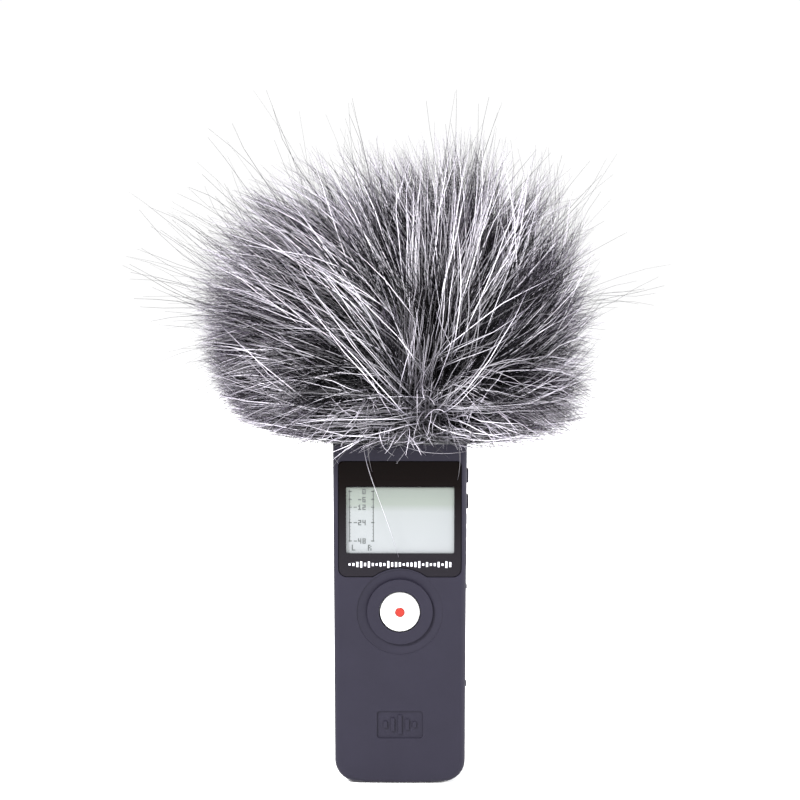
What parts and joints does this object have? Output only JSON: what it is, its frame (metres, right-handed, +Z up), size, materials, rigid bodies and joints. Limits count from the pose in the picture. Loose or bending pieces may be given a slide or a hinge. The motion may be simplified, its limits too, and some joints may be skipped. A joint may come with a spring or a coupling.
{
  "type": "portable field recorder",
  "caption": "Handheld stereo field recorder with a display, a record button, side keys, a battery bay and a long-pile fur windscreen that pulls off over crossed microphones.",
  "frame": {"origin": "on the ground plane under the middle of the recorder's rounded bottom end, which is also the middle of the windscreen seen from above", "axes": "+Z up along the recorder towards the windscreen, -Y out of the front with the display and the record button, +X towards the side with the level keys and the card door"},
  "size_m": [0.1548, 0.1248, 0.214],
  "materials": {
    "case": "satin",
    "key": "matte",
    "inner_plastic": "matte",
    "white_button": "gloss",
    "white_film": "satin",
    "red_inlay": "gloss",
    "lens": "gloss",
    "lcd": "gloss",
    "board": "satin",
    "flex": "satin",
    "component_black": "matte",
    "steel": "satin",
    "capsule_metal": "satin",
    "brass": "satin",
    "battery_skin": "satin",
    "rubber": "matte",
    "knit": "matte",
    "fur": "matte"
  },
  "bodies": {
    "recorder": {"front_shell": "case", "rear_shell": "case", "mic_cage": "case", "card_door_pin": "steel", "strap_post": "steel", "case_screw_1": "steel", "case_screw_2": "steel", "case_screw_3": "steel", "case_screw_4": "steel", "tripod_insert": "brass", "display_lens": "lens", "lcd_glass": "lcd", "lcd_reflector": "white_film", "lcd_frame": "inner_plastic", "main_board": "board", "processor_chip": "component_black", "display_ribbon": "flex", "card_socket": "steel", "record_switch": "steel", "speaker": "component_black", "rear_switch_bank": "inner_plastic", "power_switch": "steel", "right_key_switches": "inner_plastic", "line_in_jack": "component_black", "left_key_switches": "inner_plastic", "phones_jack": "component_black", "usb_port": "steel", "battery_tray": "inner_plastic", "battery": "battery_skin", "positive_contact": "steel", "negative_spring": "steel", "capsule_bracket": "rubber", "left_capsule": "capsule_metal", "left_boot": "rubber", "right_capsule": "capsule_metal", "right_boot": "rubber"},
    "record_button": {"record_button": "white_button", "record_dot": "red_inlay"},
    "windscreen": {"windscreen_cuff": "knit", "windscreen_sleeve": "knit", "windscreen_fur": "fur"},
    "battery_cover": {"battery_cover": "case"},
    "card_door": {"card_door": "case"},
    "memory_card": {"memory_card": "component_black"},
    "power_slider": {"power_slider": "key"},
    "level_up_key": {"level_up_key": "key"},
    "level_down_key": {"level_down_key": "key"},
    "play_key": {"play_key": "key"},
    "forward_key": {"forward_key": "key"},
    "rewind_key": {"rewind_key": "key"},
    "delete_key": {"delete_key": "key"},
    "volume_up_key": {"volume_up_key": "key"},
    "volume_down_key": {"volume_down_key": "key"},
    "low_cut_slider": {"low_cut_slider": "inner_plastic"},
    "auto_level_slider": {"auto_level_slider": "inner_plastic"},
    "format_slider": {"format_slider": "inner_plastic"}
  },
  "joints": [
    {"name": "record_press", "type": "slide", "parent": "recorder", "child": "record_button", "axis": [0, 1, 0], "range_m": [0, 0.0006], "stiffness_N_per_m": 900, "springref_m": -0.0005},
    {"name": "level_up_press", "type": "slide", "parent": "recorder", "child": "level_up_key", "axis": [-1, 0, 0], "range_m": [0, 0.0004], "stiffness_N_per_m": 900, "springref_m": -0.0005},
    {"name": "level_down_press", "type": "slide", "parent": "recorder", "child": "level_down_key", "axis": [-1, 0, 0], "range_m": [0, 0.0004], "stiffness_N_per_m": 900, "springref_m": -0.0005},
    {"name": "play_press", "type": "slide", "parent": "recorder", "child": "play_key", "axis": [-1, 0, 0], "range_m": [0, 0.0004], "stiffness_N_per_m": 900, "springref_m": -0.0005},
    {"name": "forward_press", "type": "slide", "parent": "recorder", "child": "forward_key", "axis": [-1, 0, 0], "range_m": [0, 0.0004], "stiffness_N_per_m": 900, "springref_m": -0.0005},
    {"name": "rewind_press", "type": "slide", "parent": "recorder", "child": "rewind_key", "axis": [-1, 0, 0], "range_m": [0, 0.0004], "stiffness_N_per_m": 900, "springref_m": -0.0005},
    {"name": "delete_press", "type": "slide", "parent": "recorder", "child": "delete_key", "axis": [-1, 0, 0], "range_m": [0, 0.0004], "stiffness_N_per_m": 900, "springref_m": -0.0005},
    {"name": "volume_up_press", "type": "slide", "parent": "recorder", "child": "volume_up_key", "axis": [1, 0, 0], "range_m": [0, 0.0004], "stiffness_N_per_m": 900, "springref_m": -0.0005},
    {"name": "volume_down_press", "type": "slide", "parent": "recorder", "child": "volume_down_key", "axis": [1, 0, 0], "range_m": [0, 0.0004], "stiffness_N_per_m": 900, "springref_m": -0.0005},
    {"name": "power_slide", "type": "slide", "parent": "recorder", "child": "power_slider", "axis": [0, 0, 1], "range_m": [-0.002, 0.002], "stiffness_N_per_m": 300},
    {"name": "low_cut_slide", "type": "slide", "parent": "recorder", "child": "low_cut_slider", "axis": [1, 0, 0], "range_m": [0, 0.002]},
    {"name": "auto_level_slide", "type": "slide", "parent": "recorder", "child": "auto_level_slider", "axis": [1, 0, 0], "range_m": [0, 0.002]},
    {"name": "format_slide", "type": "slide", "parent": "recorder", "child": "format_slider", "axis": [1, 0, 0], "range_m": [0, 0.002]},
    {"name": "battery_cover_slide", "type": "slide", "parent": "recorder", "child": "battery_cover", "axis": [0, 0, -1], "range_m": [0, 0.068]},
    {"name": "card_door_swing", "type": "hinge", "parent": "recorder", "child": "card_door", "pos_m": [0.0207, -0.0026, 0.0371], "axis": [0, 0, 1], "range_deg": [0, 100]},
    {"name": "card_press", "type": "slide", "parent": "recorder", "child": "memory_card", "axis": [-1, 0, 0], "range_m": [0, 0.0006], "stiffness_N_per_m": 500, "springref_m": -0.0005},
    {"name": "windscreen_pull", "type": "slide", "parent": "recorder", "child": "windscreen", "axis": [0, 0, 1], "range_m": [0, 0.035]}
  ]
}
